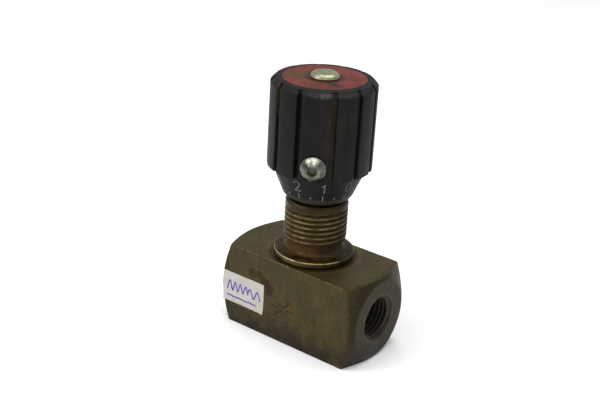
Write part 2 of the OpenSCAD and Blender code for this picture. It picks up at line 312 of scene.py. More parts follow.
class Surface:
    """A material's node tree, with short calls for the nodes that the finishes share."""

    def __init__(self, name):
        self.material = bpy.data.materials.new(name)
        self.material.use_nodes = True
        self.tree = self.material.node_tree
        self.shader = self.tree.nodes["Principled BSDF"]
        self.place = self.add("ShaderNodeTexCoord").outputs["Object"]
        split = self.add("ShaderNodeSeparateXYZ", Vector=self.place)
        self.x, self.y, self.z = split.outputs

    def add(self, kind, **inputs):
        node = self.tree.nodes.new(kind)
        self.fill(node, **inputs)
        return node

    def fill(self, node, **inputs):
        """Sets or links inputs by name, with _ for each space."""
        for name, value in inputs.items():
            self.feed(node.inputs[name.replace("_", " ")], value)

    def feed(self, socket, value):
        if isinstance(value, bpy.types.NodeSocket):
            self.tree.links.new(value, socket)
        else:
            socket.default_value = value

    def calculate(self, kind, operation, values):
        node = self.add(kind)
        node.operation = operation
        for socket, value in zip(node.inputs, values):
            self.feed(socket, value)
        return node

    def math(self, operation, *values):
        return self.calculate("ShaderNodeMath", operation, values).outputs[0]

    def vector(self, operation, *values):
        return self.calculate("ShaderNodeVectorMath", operation, values)

    def both(self, first, *others):
        """The product of masks and shares."""
        for other in others:
            first = self.math("MULTIPLY", first, other)
        return first

    def most(self, first, *others):
        """The highest of several masks."""
        for other in others:
            first = self.math("MAXIMUM", first, other)
        return first

    def step(self, value, low, high):
        """0 below low and 1 above high; low above high turns it round."""
        flip = low > high
        node = self.add("ShaderNodeMapRange", Value=value, From_Min=min(low, high), From_Max=max(low, high),
                        To_Min=float(flip), To_Max=float(not flip))
        node.interpolation_type = "SMOOTHSTEP"
        return node.outputs[0]

    def span(self, length, low, high):
        """A step over a length, with its limits in mm."""
        return self.step(length, low * MM, high * MM)

    def mapped(self, scale, offset):
        return self.add("ShaderNodeMapping", Vector=self.place, Scale=scale, Location=offset).outputs[0]

    def noise(self, size_mm, detail=4.0, rough=0.55, stretch=(1, 1, 1), offset=(0, 0, 0)):
        """Noise whose features are about size_mm across."""
        where = self.mapped([s / (size_mm * MM) for s in stretch], offset)
        node = self.add("ShaderNodeTexNoise", Vector=where, Scale=1.0, Detail=detail, Roughness=rough)
        return node.outputs["Fac"]

    def patches(self, low, high, *size, **shape):
        """Noise as a mask with soft limits."""
        return self.step(self.noise(*size, **shape), low, high)

    def spots(self, size_mm, low, high, offset=(0, 0, 0)):
        """Scattered round spots: 1 inside a spot."""
        where = self.mapped([1 / (size_mm * MM)] * 3, offset)
        warp = self.add("ShaderNodeTexNoise", Vector=where, Scale=1.6, Detail=3.0)
        shift = self.vector("MULTIPLY_ADD", warp.outputs["Color"], (0.5, 0.5, 0.5), where)
        cells = self.add("ShaderNodeTexVoronoi", Vector=shift.outputs[0], Scale=1.0)
        return self.step(cells.outputs["Distance"], high, low)

    def near(self, centre_mm, radius_mm, soft=0.35, squash=(1, 1, 1)):
        """1 around a point in mm, fading out at the radius."""
        shift = self.vector("SUBTRACT", self.place, [c * MM for c in centre_mm])
        scaled = self.vector("MULTIPLY", shift.outputs[0], squash)
        length = self.vector("LENGTH", scaled.outputs[0]).outputs["Value"]
        return self.span(length, radius_mm, radius_mm * soft)

    def distance(self, a, b):
        """Length of the flat vector (a, b)."""
        return self.math("SQRT", self.math("ADD", self.both(a, a), self.both(b, b)))

    def radius(self):
        """Distance from the spindle axis, in metres."""
        return self.distance(self.x, self.y)

    def mix(self, share, a, b):
        """Colour a at share 0 and b at share 1."""
        node = self.add("ShaderNodeMix")
        node.data_type = "RGBA"
        self.feed(node.inputs[0], share)
        for socket, value in ((node.inputs[6], a), (node.inputs[7], b)):
            self.feed(socket, value if isinstance(value, bpy.types.NodeSocket) else (*value, 1.0))
        return node.outputs[2]

    def coat(self, share, a, b):
        """Starts the surface's colour as a mix of two."""
        self.color = self.mix(share, a, b)

    def paint(self, color, *masks):
        """Covers the surface with a colour where all the masks are 1; a number among them is a share."""
        self.color = self.mix(self.both(*masks), self.color, color)

    def blend(self, share, a, b):
        """Number a at share 0 and b at share 1."""
        return self.add("ShaderNodeMix", Factor=share, A=a, B=b).outputs[0]

    def bump(self, *layers):
        """Adds height layers of (height, depth in mm) to the normal."""
        normal = None
        for height, depth in layers:
            node = self.add("ShaderNodeBump", Strength=1.0, Distance=depth * MM, Height=height)
            if normal is not None:
                self.fill(node, Normal=normal)
            normal = node.outputs[0]
        self.fill(self.shader, Normal=normal)

    def finish(self, rough, metallic=0.0, specular=0.5):
        self.fill(self.shader, Base_Color=self.color, Roughness=rough, Metallic=metallic,
                  Specular_IOR_Level=specular)
        return self.material


# ---- finishes

def body_finish():
    """Olive-brown oiled bar steel: painted shade on the ends and at the flange's foot, painted light on the
    top, worn edges, rust blots and pits.
    """
    s = Surface("olive_bar_steel")
    grain = s.noise(0.8, 6, 0.65)
    streak = s.noise(2.6, 4, 0.6, stretch=(1, 1, 0.25))
    brush = s.noise(0.5, 3, 0.6, stretch=(0.12, 1, 1), offset=(3, 0, 5))
    s.coat(s.patches(0.35, 0.66, 8, 5, 0.6), (0.054, 0.045, 0.021), (0.083, 0.058, 0.023))
    s.paint((0.05, 0.044, 0.021), s.step(streak, 0.45, 0.72), 0.6)
    s.paint((0.033, 0.025, 0.012), s.step(grain, 0.5, 0.8), 0.35)
    # Cone and turned ring at each end painted darker and greyer: painted shade on both ends
    along = s.math("ABSOLUTE", s.x)
    off_axis = s.math("SUBTRACT", s.z, AXIS_Z * MM)
    ring = s.distance(s.y, off_axis)
    flat = s.span(along, HALF_L - 0.25, HALF_L - 0.05)
    s.paint((0.024, 0.0216, 0.0106), s.span(along, HALF_L - 3.6, HALF_L - 0.5), 0.85)
    s.paint((0.03, 0.027, 0.0112), flat, 0.75)
    # Blue-grey patch under the port
    under = s.near((HALF_L, -0.5, 3.4), 3.8, 0.3, (1, 0.8, 1.3))
    s.paint((0.038, 0.042, 0.04), under, s.patches(0.3, 0.52, 2.4, 4, 0.6), 0.9)
    # Dark oily port inside, with a paler edge at its mouth
    s.paint((0.085, 0.078, 0.052), s.span(ring, PORT_MOUTH_R + 0.35, PORT_MOUTH_R + 0.1), flat, 0.6)
    s.paint((0.05, 0.045, 0.036), s.span(ring, 7.0, 6.6), s.span(along, 5.0, 8.0), 0.9)
    # Greyer and darker low on the faces
    s.paint((0.02, 0.019, 0.0165), s.span(s.z, 10, 0.5), s.patches(0.3, 0.6, 4.5, 4), 0.85)
    # Top painted paler as painted light from above, a painted shadow ring at the flange's foot and a golden
    # stain ring around the flange
    top = s.span(s.z, TOP - 0.4, TOP - 0.1)
    radius = s.radius()
    s.paint((0.115, 0.084, 0.03), top, 0.35)
    s.paint((0.045, 0.026, 0.01), s.span(radius, 13.2, 12.4), top, 0.8)
    halo = s.both(s.span(radius, 12.5, 13.1), s.span(radius, 15.0, 13.2))
    s.paint((0.125, 0.08, 0.024), halo, s.patches(0.3, 0.54, 4, 4, 0.6), top, 0.8)
    # Rust blots beside the label, small rust spots and dark pits
    blots = ((-12.2, 18.7, 2.7), (-9.6, 18.8, 2.3), (-7.6, 17.4, 2.5), (-5.9, 16.2, 2.4), (-5.8, 14.6, 2.2))
    field = s.most(*[s.near((x, -HALF_W, z), size, 0.0) for x, z, size in blots])
    ragged = s.math("MULTIPLY_ADD", s.noise(1.9, 4, 0.6, offset=(5, 3, 8)), 1.9, field)
    ragged = s.math("MULTIPLY_ADD", s.noise(0.7, 4, 0.7, offset=(1, 4, 2)), 1.5, ragged)
    rust = s.step(ragged, 2.02, 2.3)
    s.paint((0.036, 0.022, 0.01), s.spots(4.2, 0.14, 0.24), s.patches(0.5, 0.6, 7, 2), 0.75)
    s.paint(s.mix(s.step(grain, 0.35, 0.65), (0.024, 0.013, 0.007), (0.05, 0.028, 0.012)), rust, 0.9)
    pitted = s.most(s.patches(0.5, 0.62, 4, 2), s.near((16.5, -HALF_W, 18.0), 5.5, 0.4, (0.8, 1, 1)))
    pits = s.both(s.spots(1.6, 0.1, 0.24, (3, 1, 2)), pitted)
    s.paint((0.024, 0.019, 0.013), pits, 0.7)
    # Fine dark pepper and pale flecks, thicker low on the faces
    thick = s.most(s.patches(0.42, 0.58, 6, 3, 0.6, offset=(2, 9, 4)), s.span(s.z, 9, 2))
    s.paint((0.026, 0.02, 0.012), s.patches(0.54, 0.63, 0.75, 4, 0.65, offset=(6, 1, 3)), thick, 0.55)
    s.paint((0.13, 0.11, 0.066),
            s.patches(0.61, 0.68, 0.6, 3, 0.6, stretch=(0.7, 1, 1.3), offset=(1, 7, 7)), 0.35)
    # Dirt in the strokes of the symbol
    inside = s.span(s.y, -HALF_W + 0.02, -HALF_W + 0.09)
    s.paint((0.026, 0.02, 0.011), s.near((SYMBOL_AT[0], -HALF_W, SYMBOL_AT[1]), 7.5, 0.85), inside, 0.35)
    # Bare worn metal on the long edges
    corner = s.math("ADD", s.math("ABSOLUTE", s.y), s.math("ABSOLUTE", off_axis))
    worn = s.both(s.span(corner, HALF_W * 2 - 0.5, HALF_W * 2 - 0.28), s.patches(0.46, 0.6, 1.3, 5, 0.75))
    s.paint((0.21, 0.175, 0.105), worn, 0.9)
    rough = s.blend(s.step(grain, 0.3, 0.7), 0.42, 0.58)
    rough = s.blend(rust, rough, 0.88)
    rough = s.blend(worn, rough, 0.36)
    s.bump((s.noise(0.28, 4, 0.6), 0.01), (brush, 0.012), (streak, 0.02),
           (s.math("ADD", rust, grain), 0.022), (pits, -0.05))
    return s.finish(rough, s.blend(rust, 0.8, 0.1), 0.14)


def neck_finish():
    """Bronze-brown neck: worn crests with a painted highlight, red rust in the relief, and painted shade in
    the thread roots and on one side.
    """
    s = Surface("bronze_neck_steel")
    grain = s.noise(0.7, 5, 0.65)
    radius = s.radius()
    s.coat(s.patches(0.36, 0.64, 4.0, 4, 0.6), (0.072, 0.051, 0.022), (0.108, 0.077, 0.032))
    s.paint((0.036, 0.022, 0.01), s.step(grain, 0.5, 0.75), 0.5)
    # Paler thread crests, worn metal with a painted highlight along them, and thread roots painted darker as
    # painted shade
    in_thread = s.both(s.span(s.z, RELIEF_TOP, RELIEF_TOP + 0.6), s.span(s.z, NECK_TOP - 1.6, NECK_TOP - 4.5))
    s.paint((0.175, 0.138, 0.052), s.span(radius, NECK_R - 0.2, NECK_R - 0.03), in_thread,
            s.patches(0.36, 0.58, 3.0, 4, 0.7, offset=(2, 4, 1)), 0.9)
    s.paint((0.034, 0.021, 0.01), s.span(radius, NECK_R - 0.35, NECK_ROOT_R + 0.05), in_thread, 0.45)
    # Red-brown rust in the relief and in a few drips through the thread
    relief = s.both(s.span(s.z, TOP + 2.4, TOP + 3.2), s.span(s.z, RELIEF_TOP + 1.4, RELIEF_TOP + 0.4))
    drips = s.patches(0.52, 0.66, 3.0, 4, 0.65, stretch=(1, 1, 0.35), offset=(4, 2, 0))
    rust = s.most(s.both(relief, s.patches(0.3, 0.52, 2.6, 5, 0.7)), s.both(drips, 0.75))
    s.paint(s.mix(s.step(grain, 0.35, 0.7), (0.042, 0.016, 0.004), (0.092, 0.038, 0.008)), rust, 0.85)
    # A darker patch on the relief's right side, below the thread: painted shade
    s.paint((0.02, 0.013, 0.007), s.near((7.5, -3.4, TOP + 4.4), 4.6, 0.3), relief, 0.7)
    # Flange: brown slope, a bright line at its rim that is worn metal with a painted highlight, and a side
    # painted darker as painted shade
    brown = s.mix(s.patches(0.34, 0.62, 2.2, 4, 0.6), (0.022, 0.009, 0.002), (0.046, 0.022, 0.004))
    s.paint(brown, s.span(s.z, TOP + 3.0, TOP + 2.3), s.span(s.z, TOP + 1.75, TOP + 1.95), 0.9)
    s.paint((0.066, 0.05, 0.022), s.span(s.z, TOP + 1.62, TOP + 1.5),
            s.span(s.z, TOP - 0.2, TOP + 0.1), 0.75)
    s.paint((0.34, 0.27, 0.115), s.span(radius, FLANGE_R - 0.32, FLANGE_R - 0.22),
            s.span(s.z, TOP + 1.6, TOP + 1.68), s.patches(0.32, 0.52, 3, 4, 0.6, offset=(1, 1, 7)), 0.9)
    # One side, away from the key light, is painted darker: painted shade
    across = s.math("ADD", s.both(s.x, 0.8), s.both(s.y, 0.6))
    s.paint((0.018, 0.017, 0.009), s.span(across, 3.0, 8.5), s.patches(0.25, 0.45, 5, 3), 0.85)
    # Darker at the top of the neck; the stem above it is clean
    top = s.span(s.z, NECK_TOP - 3.2, NECK_TOP - 1.2)
    s.paint((0.026, 0.018, 0.011), top, s.patches(0.24, 0.5, 2.2, 3), 0.85)
    stem = s.span(s.z, KNOB_Z0 + 0.3, KNOB_Z0 + 0.8)
    s.paint((0.3, 0.29, 0.26), stem)
    rough = s.blend(s.step(grain, 0.3, 0.7), 0.36, 0.54)
    rough = s.blend(rust, rough, 0.8)
    rough = s.blend(stem, rough, 0.28)
    s.bump((s.noise(0.3, 4, 0.6), 0.01), (s.math("ADD", rust, grain), 0.03))
    return s.finish(rough, s.blend(rust, 0.85, 0.15), 0.14)


def knob_finish():
    """Dusty black moulded plastic with brown grime in the grooves and on the skirt's lower rim."""
    s = Surface("black_knob_plastic")
    grain = s.noise(0.5, 5, 0.6)
    radius = s.radius()
    s.coat(s.patches(0.35, 0.65, 6, 4, 0.6), (0.004, 0.0041, 0.0044), (0.0064, 0.0064, 0.0062))
    dust = s.both(s.patches(0.5, 0.76, 2.2, 6, 0.7, stretch=(1, 1, 0.35)), 0.6)
    s.paint((0.013, 0.013, 0.0105), dust)
    # Grime on the groove floors, mostly dark, here and there rusty and olive on one side
    grime = s.both(s.span(radius, 14.1, 13.3), s.span(s.z, CONE_TOP[1] - 0.2, CONE_TOP[1] + 0.6),
                   s.span(s.z, KNOB_Z1 - 0.6, KNOB_Z1 - 1.4))
    stain = s.patches(0.5, 0.64, 5.0, 4, 0.65, stretch=(1, 1, 0.5), offset=(1, 5, 2))
    brown = s.mix(stain, (0.006, 0.005, 0.004), (0.03, 0.018, 0.008))
    olive = s.mix(stain, (0.04, 0.034, 0.02), (0.05, 0.034, 0.016))
    s.paint(s.mix(s.span(s.x, 5.5, 8.5), brown, olive), grime, 0.9)
    smear = s.both(s.patches(0.55, 0.7, 3.2, 5, 0.7, stretch=(1, 1, 0.35), offset=(7, 1, 4)), 0.5)
    s.paint((0.019, 0.012, 0.006), smear)
    # Rust at the top of one groove and a brown smear beside the wide lobe
    s.paint((0.05, 0.026, 0.008), s.near((-5.0, -13.0, KNOB_Z1 - 5.0), 3.4, 0.5, (1, 1, 0.6)),
            s.span(radius, KNOB_R - 0.1, KNOB_R - 0.5), s.step(grain, 0.25, 0.5))
    s.paint((0.024, 0.018, 0.008), s.near((10.6, -9.9, KNOB_Z1 - 11), 4.6, 0.2, (1, 1, 0.4)),
            s.patches(0.38, 0.56, 1.6, 5, 0.7, stretch=(1, 1, 0.35)), 0.5)
    # Olive dirt on the rounded lower rim
    s.paint((0.03, 0.025, 0.013), s.span(s.z, KNOB_Z0 + 2.3, KNOB_Z0 + 1.3),
            s.patches(0.22, 0.46, 2.0, 3), 0.85)
    # Crown corners paler: rubbed wear all round and a painted highlight on the bevel at the front
    front = s.both(s.near((8.4, -11.5, KNOB_Z1 - 0.9), 4.2, 0.1),
                   s.patches(0.34, 0.58, 1.3, 5, 0.7, offset=(2, 6, 1)))
    rubbed_and_highlight = s.most(front, s.both(s.patches(0.44, 0.62, 2.6, 4, 0.7, offset=(3, 3, 3)), 0.35))
    s.paint((0.05, 0.049, 0.046), s.span(s.z, KNOB_Z1 - 2.0, KNOB_Z1 - 1.1),
            s.span(s.z, KNOB_Z1 - 0.1, KNOB_Z1 - 0.5), rubbed_and_highlight, 0.85)
    rough = s.blend(s.step(grain, 0.3, 0.7), 0.46, 0.6)
    rough = s.blend(grime, rough, 0.85)
    rough = s.blend(dust, rough, 0.7)
    s.bump((s.noise(0.22, 3, 0.5), 0.006), (grain, 0.012), (s.math("ADD", grime, smear), 0.03))
    return s.finish(rough, 0.0, 0.13)


def disc_finish():
    """Faded red disc with brown scuffs, mostly at its left, a dark scrape at the front and painted shade
    round the cap.
    """
    s = Surface("faded_red_disc")
    grain = s.noise(0.6, 5, 0.65)
    s.coat(s.patches(0.35, 0.65, 5, 4, 0.6), (0.092, 0.012, 0.009), (0.138, 0.025, 0.018))
    s.paint((0.06, 0.012, 0.008), s.step(grain, 0.45, 0.75), 0.4)
    # As the closed knob is seen from its front: scuffs left, a darker front, a scrape to the right
    top = KNOB_Z1
    scuff = s.both(s.near((-6.4, -3.4, top), 6.8), s.patches(0.34, 0.5, 2.2, 5, 0.7, offset=(5, 0, 0)))
    s.paint((0.054, 0.028, 0.009), scuff, 0.9)
    s.paint((0.08, 0.014, 0.006), s.near((4.0, -9.0, top), 6.0, 0.2), s.patches(0.3, 0.56, 3, 4, 0.6), 0.7)
    s.paint((0.012, 0.01, 0.011), s.near((6.3, -4.2, top), 3.0, 0.3, (0.8, 1.2, 1)),
            s.patches(0.32, 0.5, 1.8, 4, 0.7), 0.95)
    # Darker ring round the cap: painted shade where the cap stands on the disc
    s.paint((0.03, 0.009, 0.005), s.span(s.radius(), 6.6, 4.6), s.patches(0.16, 0.42, 2.4, 3), 0.9)
    s.bump((s.noise(0.35, 4, 0.6), 0.012), (s.math("ADD", scuff, grain), 0.02))
    return s.finish(s.blend(s.step(grain, 0.3, 0.7), 0.46, 0.62), 0.0, 0.18)


def steel_finish(name, pale, dark, dirt, rough_low, rough_high, grime=0.3, size=1.0, hollow=None,
                 highlight_spot=None):
    """Bare metal with scratches and blots of grime; a hollow holds dirt and a painted highlight makes a spot
    paler.
    """
    s = Surface(name)
    grain = s.noise(0.35, 4, 0.6)
    cloud = s.noise(size, 5, 0.65)
    s.coat(s.step(cloud, 0.35, 0.65), pale, dark)
    blots = s.both(s.patches(0.5, 0.66, size * 0.8, 5, 0.7, offset=(3, 2, 6)), grime)
    if hollow:
        blots = s.most(blots, s.both(s.near(hollow, 1.75, 0.75), 0.6))
    s.paint(dirt, blots)
    # An optional painted highlight: a spot three times paler than the pale metal
    if highlight_spot:
        s.paint([3 * c for c in pale], s.near(highlight_spot, 2.0, 0.1), s.step(cloud, 0.7, 0.52))
    rough = s.blend(s.step(grain, 0.3, 0.7), rough_low, rough_high)
    rough = s.blend(blots, rough, 0.7)
    s.bump((grain, 0.004), (cloud, 0.012), (blots, -0.01))
    return s.finish(rough, s.blend(blots, 1.0, 0.4))


def plain_finish(name, light, deep, rough_low, rough_high):
    """Rubber or plastic with a soft variation and a fine grain."""
    s = Surface(name)
    s.coat(s.patches(0.32, 0.68, 3.0, 4, 0.6), light, deep)
    grain = s.noise(0.3, 4, 0.6)
    s.bump((grain, 0.01))
    return s.finish(s.blend(s.step(grain, 0.3, 0.7), rough_low, rough_high))


def rings_finish():
    """Enamel rings, white and red by turns, one for each millimetre of lift."""
    s = Surface("turn_ring_enamel")
    height = s.math("DIVIDE", s.math("SUBTRACT", s.z, rings_low[2] * MM), 2 * MM)
    grain = s.noise(0.5, 4, 0.6)
    s.coat(s.step(s.math("FRACT", height), 0.49, 0.51), (0.58, 0.56, 0.5), (0.42, 0.045, 0.035))
    s.paint((0.18, 0.14, 0.1), s.step(grain, 0.55, 0.8), 0.35)
    s.bump((grain, 0.006))
    return s.finish(s.blend(grain, 0.25, 0.5))


def paper_finish():
    """Off-white label paper with a fibre grain and faint smudges."""
    s = Surface("label_paper")
    fibre = s.noise(0.25, 5, 0.7)
    cloud = s.noise(4, 4, 0.6)
    s.coat(s.step(cloud, 0.35, 0.7), (0.5, 0.48, 0.44), (0.445, 0.425, 0.38))
    s.paint((0.4, 0.36, 0.3), s.patches(0.56, 0.72, 1.8, 5, 0.7), 0.35)
    s.bump((fibre, 0.015), (cloud, 0.03))
    return s.finish(s.blend(fibre, 0.75, 0.92), 0.0, 0.3)


def scale_finish():
    """Off-white scale paint, worn and dirty in places."""
    s = Surface("worn_scale_paint")
    wear = s.noise(0.45, 5, 0.7)
    worn = s.both(s.step(wear, 0.44, 0.6), s.patches(0.25, 0.62, 2.4, 3, 0.6, offset=(2, 8, 1)))
    s.coat(s.noise(0.8, 3), (0.21, 0.21, 0.175), (0.12, 0.12, 0.095))
    s.paint((0.022, 0.022, 0.018), s.most(worn, s.near((12.0, -1.6, TOP + 24), 4.5, 0.6)), 0.75)
    s.bump((wear, 0.01))
    return s.finish(s.blend(wear, 0.5, 0.75))


def ink_finish():
    """Violet felt-pen ink, uneven in its strokes."""
    s = Surface("violet_ink")
    patchy = s.noise(0.7, 4, 0.7)
    s.coat(s.step(patchy, 0.35, 0.7), (0.05, 0.028, 0.3), (0.12, 0.08, 0.4))
    s.bump((patchy, 0.004))
    return s.finish(s.blend(patchy, 0.45, 0.7))


# ---- valve body

def thread_depth(turns):
    """Height of a rounded V thread, 0 at its root and 1 at its crest, over a count of turns."""
    wave = abs((turns % 1.0) * 2 - 1)
    return min(1.0, max(0.0, (wave - 0.12) / 0.68))


def square_reach(angle, corner):
    """Distance from the port axis to the bar's rounded square outline."""
    c, s = abs(math.cos(angle)), abs(math.sin(angle))
    flat = HALF_W / max(c, s)
    inner = HALF_W - corner
    if min(c, s) * flat <= inner:
        return flat
    along = inner * (c + s)
    return along + math.sqrt(max(0.0, along * along - 2 * inner * inner + corner * corner))


def body_angles():
    """Angles around the port axis, closer together at the four corners."""
    angles = []
    for quarter in range(4):
        for i in range(48):
            t = i / 48
            bent = t + 0.105 * math.sin(4 * math.pi * (t + 0.25) - math.pi) / (2 * math.pi) * 4
            angles.append((quarter + bent) * math.pi / 2 + math.pi / 2)
    return angles


def edge_wear(angle, x):
    """Rounding of the bar's long edges: a small radius with worn and dented stretches."""
    edge = round(angle * 2 / math.pi)
    wave = noise.noise(Vector((x * 0.35, edge, 4.2)))
    fine = noise.noise(Vector((x * 1.7, edge, 9.1)))
    return 0.34 + 0.16 * max(0.0, wave) + 0.14 * max(0.0, fine)


def body_half(side):
    """Rings from a port's drill point out over its face to the middle of the bar."""
    angles = body_angles()
    rings = []

    def ring(x, radius):
        """Adds a ring; x and radius are numbers or functions of the angle."""
        points = []
        for a in angles:
            r = radius(a) if callable(radius) else radius
            at = x(a) if callable(x) else x
            points.append((side * at, r * math.cos(a), AXIS_Z + r * math.sin(a)))
        rings.append(points)

    bottom = HALF_L - PORT_DEPTH
    ring(bottom - PORT_R * math.tan(DRILL_SLOPE), 0.01)
    ring(bottom, PORT_R)
    for i in range(1, PORT_WALL_STEPS + 1):
        x = bottom + (PORT_DEPTH - 0.02) * i / PORT_WALL_STEPS
        fade = min(1.0, (x - bottom) / PORT_PITCH)

        def wall(a, x=x, fade=fade):
            turns = x / PORT_PITCH - side * a / (2 * math.pi)
            cut = PORT_R + (PORT_MAJOR_R - PORT_R) * fade * (1 - thread_depth(turns))
            return max(cut, PORT_MOUTH_R - (HALF_L - x))

        ring(x, wall)
    for r, inset in ((PORT_MOUTH_R + 0.02, 0.01), (PORT_MOUTH_R + 0.1, 0.0), (8.4, 0.0), (9.9, 0.0),
                     (PORT_FACE_R - 0.15, 0.0), (PORT_FACE_R - 0.06, 0.006), (PORT_FACE_R + 0.05, 0.035)):
        ring(HALF_L - inset, r)
    turn = math.pi / 2 - END_SLOPE
    rho = 0.32
    cut = rho * math.tan(turn / 2)
    cone_r = PORT_FACE_R + 0.05

    def corner_x(a):
        return HALF_L - (square_reach(a, EDGE_R) - PORT_FACE_R) * math.tan(END_SLOPE)

    # The cone, closer rings towards the bar's sides
    for t in DENSE_RINGS:

        def cone(a, t=t):
            return cone_r + (square_reach(a, EDGE_R) - cut * math.cos(END_SLOPE) - cone_r) * t

        ring(lambda a, r=cone: HALF_L - (r(a) - PORT_FACE_R) * math.tan(END_SLOPE), cone)
    # Arc from the cone, whose normal leans by the slope, to the bar's side
    for k in range(1, 5):
        phi = turn * k / 4
        out = math.sin(END_SLOPE + phi) - math.sin(END_SLOPE)
        along = math.cos(END_SLOPE + phi) - math.cos(END_SLOPE)
        ring(lambda a, d=along: corner_x(a) + cut * math.sin(END_SLOPE) + rho * d,
             lambda a, d=out: square_reach(a, EDGE_R) - cut * math.cos(END_SLOPE) + rho * d)
    # The bar's sides up to its middle, with worn long edges
    spans = 34
    for i in range(1, spans + 1):
        ease = min(1.0, i / 2)

        def side_x(a, t=i / spans):
            return (corner_x(a) - cut) * (1 - t)

        def reach(a, x=side_x, ease=ease):
            return square_reach(a, EDGE_R + (edge_wear(a, side * x(a)) - EDGE_R) * ease)

        ring(side_x, reach)
    return rings


def stroke_cutter(path):
    """A shallow groove in the front face along a path of (x, z) points in mm."""
    points, faces, sections = [], [], []
    depth = STROKE_DEPTH
    profile = ((1, -1), (1, depth * 0.5), (0, depth), (-1, depth * 0.5), (-1, -1))
    for i, (x, z) in enumerate(path):
        across = sideways(path, i) * STROKE_W / 2
        sections.append([(x + across.x * side, deep - HALF_W, z + across.y * side) for side, deep in profile])
    sweep(points, faces, sections)
    return mesh_object("stroke_cutter", points, faces, smooth=False)


def throttle_symbol():
    """The general symbol of an adjustable throttle: two arcs, a flow line and a slanted arrow."""
    cx, cz = SYMBOL_AT
    return [
        bow(cx, cz + 3.9, 3.1, 3.1, 228, 312, 10),
        bow(cx, cz - 3.9, 3.1, 3.1, 48, 132, 10),
        [(cx - 4.6, cz), (cx - 0.9, cz)],
        [(cx + 1.2, cz), (cx + 4.6, cz)],
        [(cx - 2.6, cz - 2.9), (cx + 2.7, cz + 2.9)],
        [(cx + 1.5, cz + 2.7), (cx + 2.9, cz + 3.15)],
        [(cx + 3.2, cz + 1.6), (cx + 2.98, cz + 2.95)],
    ]


def build_body():
    right = body_half(1)
    left = body_half(-1)
    body = closed_rings("bar_body", left[:-1] + right[::-1])
    # Stepped bore for the seat, the chamber and the bonnet's thread, then the two passages
    bore = [(0, 3), (3.8, 3), (3.8, TOP - 16), (6.0, TOP - 16), (6.0, TOP - 12.5), (6.5, TOP - 12.5),
            (6.5, TOP - 7.5), (8.0, TOP - 7.5), (8.0, TOP - 1.7), (8.6, TOP - 1.7), (8.6, TOP + 1),
            (0, TOP + 1)]
    apply_boolean(body, turned("bore_cutter", bore, 64))
    low_end = (-13 + 10.9 * math.cos(math.radians(23)), 0, 9.3 - 10.9 * math.sin(math.radians(23)))
    apply_boolean(body, passage((-13, 0, 9.3), low_end))
    apply_boolean(body, passage((4.5, 0, 15.2), (13, 0, 15.2)))
    for path in throttle_symbol():
        apply_boolean(body, stroke_cutter(path))
    shade(body, 32)
    return place(body, "housing", body_finish(), "body_steel", "valve_body")


# ---- bonnet

def build_bonnet():
    """Flange, relief, helical M18 thread and the stem, with the bores inside."""
    angles = circle_angles(180)
    outer_low = rounded([
        (4.65, bonnet_low[2]), (7.98, bonnet_low[2], 0.3), (7.98, TOP - 1.7, 0.05),
        (6.95, TOP - 1.7, 0.1), (6.95, TOP, 0.1), (FLANGE_R - 0.5, TOP, 0.05),
        (FLANGE_R - 0.5, TOP + 0.3, 0.05), (FLANGE_R, TOP + 0.5, 0.15), (FLANGE_R, TOP + 1.6, 0.1),
        (FLANGE_R - 0.25, TOP + 1.85, 0.12), (9.3, TOP + 2.1, 0.8), (8.45, TOP + 2.55, 0.5),
        (RELIEF_R, TOP + 3.3, 0.5), (RELIEF_R, RELIEF_TOP)])
    rings = circles(outer_low, angles)
    steps = 104
    for i in range(steps + 1):
        z = RELIEF_TOP + (NECK_TOP - RELIEF_TOP) * i / steps
        lead_in = RELIEF_R + (z - RELIEF_TOP) * 1.2
        lead_out = NECK_R - 0.6 + (NECK_TOP - z) * 0.8
        # The thread runs out into a smooth band below the knob
        full = min(1.0, max(0.12, (NECK_TOP - 1.5 - z) / 1.2))
        ring = []
        for a in angles:
            turns = (z - 0.34) / NECK_PITCH - a / (2 * math.pi)
            cut = (NECK_R - NECK_ROOT_R) * (1 - thread_depth(turns)) * full
            r = max(RELIEF_R, min(NECK_R - cut, lead_in, lead_out))
            ring.append(polar(r, a, z))
        rings.append(ring)
    stem_top = bonnet_high[2]
    upper = rounded([
        (NECK_R - 0.9, NECK_TOP), (STEM_R, NECK_TOP, 0.25), (STEM_R, rings_low[2] - 0.1, 0.05),
        (STEM_R - 0.3, rings_low[2] - 0.05, 0.02), (STEM_R - 0.3, rings_high[2] + 0.05, 0.02),
        (STEM_R, rings_high[2] + 0.1, 0.05), (STEM_R, stem_top, 0.5), (4.6, stem_top, 0.1),
        (4.6, stem_top - 2.5), (3.03, stem_top - 2.5, 0.1), (3.03, TOP + 25), (3.55, TOP + 25),
        (3.55, TOP + 7.3, 0.1), (4.3, TOP + 7.3), (4.3, TOP - 1.8), (4.65, TOP - 1.8),
        (4.65, TOP - 2.65), (5.15, TOP - 2.65), (5.15, TOP - 3.55), (4.65, TOP - 3.55),
        (4.65, bonnet_low[2])])
    rings += circles(upper, angles)
    bonnet = mesh_object("threaded_bonnet", *stacked(rings))
    shade(bonnet, 42)
    return place(bonnet, "housing", neck_finish(), "neck_steel", "bonnet")


# ---- knob

